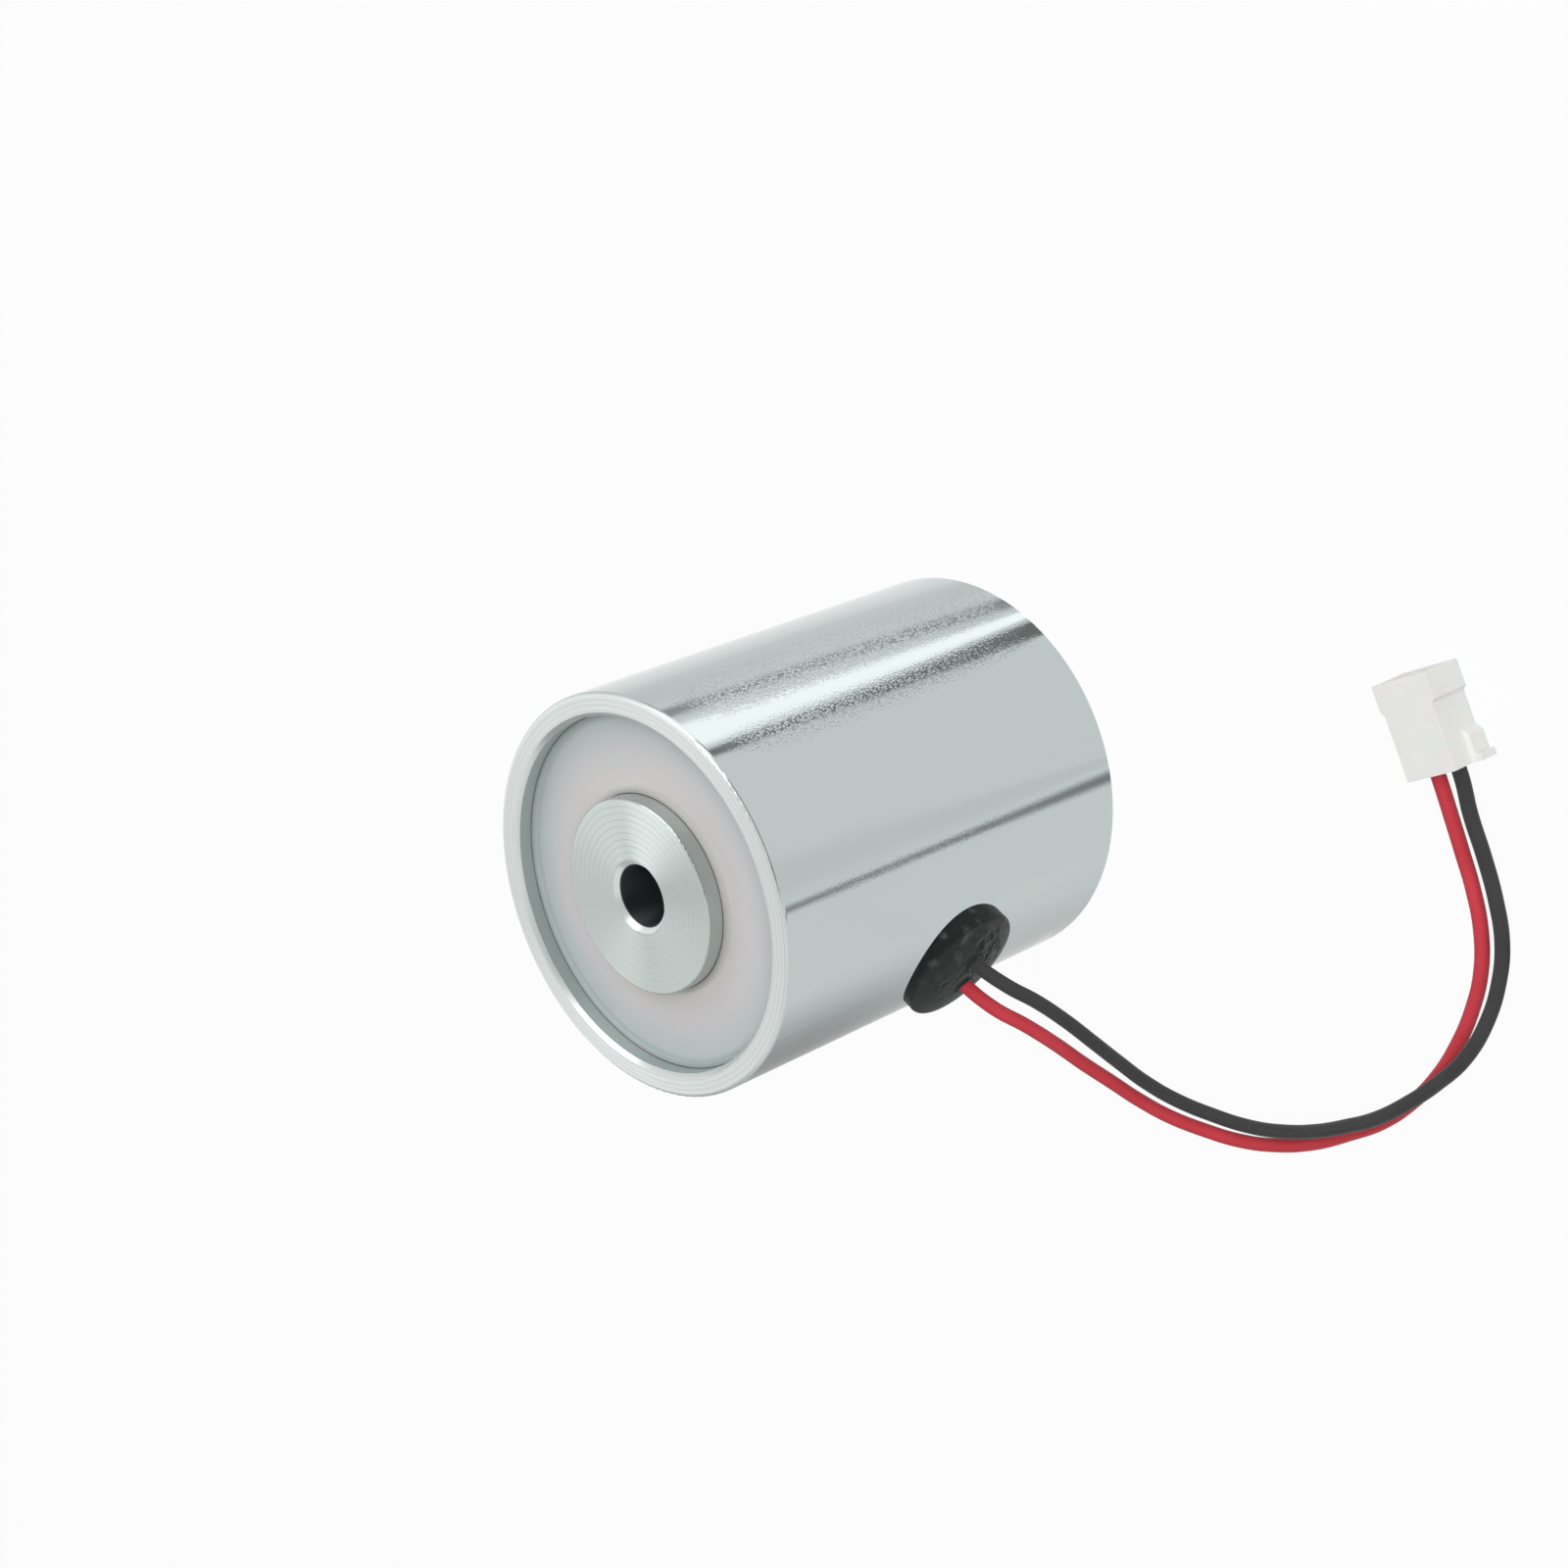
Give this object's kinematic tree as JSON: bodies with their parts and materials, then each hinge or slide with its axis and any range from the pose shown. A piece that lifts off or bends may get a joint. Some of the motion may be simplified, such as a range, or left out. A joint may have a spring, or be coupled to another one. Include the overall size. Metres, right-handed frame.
{
  "type": "holding electromagnet",
  "caption": "Round potted holding electromagnet with a flat pole face, a drilled core, a tapped rear end and side leads on a small plug.",
  "frame": {"origin": "centre of the rear face, which the magnet stands on", "axes": "+Z along the axis towards the pole face, +X towards the grommet that the leads leave by"},
  "size_m": [0.0698, 0.059, 0.0389],
  "materials": {
    "zinc_plate": "bright zinc plated",
    "turned_zinc": "turned and zinc plated",
    "bobbin_nylon": "moulded",
    "copper_wire": "enamelled copper",
    "coil_tape": "polyester tape",
    "milky_resin": "cast, satin",
    "black_rubber": "moulded",
    "red_insulation": "satin",
    "black_insulation": "satin",
    "white_nylon": "moulded",
    "tinned_brass": "tinned"
  },
  "bodies": {
    "root": {"shell": "zinc_plate", "core": "turned_zinc", "bobbin": "bobbin_nylon", "winding": "copper_wire", "winding_tape": "coil_tape", "potting_resin": "milky_resin", "grommet": "black_rubber", "red_splice": "red_insulation", "black_splice": "black_insulation", "red_lead": "red_insulation", "black_lead": "black_insulation", "connector_housing": "white_nylon", "red_terminal": "tinned_brass", "black_terminal": "tinned_brass"}
  },
  "joints": []
}
